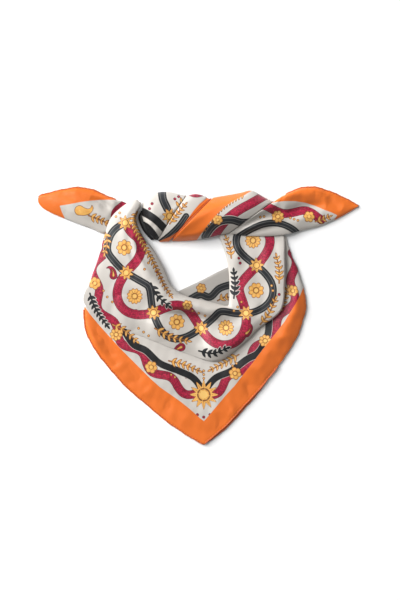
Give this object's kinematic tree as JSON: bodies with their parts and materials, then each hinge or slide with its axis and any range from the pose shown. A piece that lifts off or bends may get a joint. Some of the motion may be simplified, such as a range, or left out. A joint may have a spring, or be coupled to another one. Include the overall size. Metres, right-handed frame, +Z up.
{
  "type": "silk square scarf",
  "caption": "Square silk scarf folded corner to corner, tied round as at a neck and laid flat, with a pointed front, draped fold, rolled hem and twisted back band with tails.",
  "frame": {"origin": "middle of the footprint, on the floor that the scarf lies on", "axes": "+Z up from the floor, +Y towards the twisted back band, +X towards the right tail"},
  "size_m": [0.513, 0.4128, 0.0272],
  "materials": {
    "ivory_silk": "soft sheen silk twill, printed",
    "shaded_silk": "soft sheen silk twill, inner side in shade",
    "orange_silk": "soft sheen silk twill, orange border",
    "hem_silk": "rolled hem in orange silk twill"
  },
  "bodies": {
    "root": {"collar_fold": "ivory_silk", "nape_panel": "shaded_silk", "tuck_fold": "shaded_silk", "back_puff": "ivory_silk", "back_turn": "ivory_silk", "back_wrap": "orange_silk", "right_tail": "orange_silk", "left_tail": "orange_silk", "bib_front": "orange_silk", "bib_back": "orange_silk", "hem_bib_left": "hem_silk", "hem_bib_right": "hem_silk", "hem_back_right": "hem_silk", "hem_right_tail": "hem_silk", "hem_left_tail": "hem_silk", "hem_back_wrap": "hem_silk"}
  },
  "joints": []
}
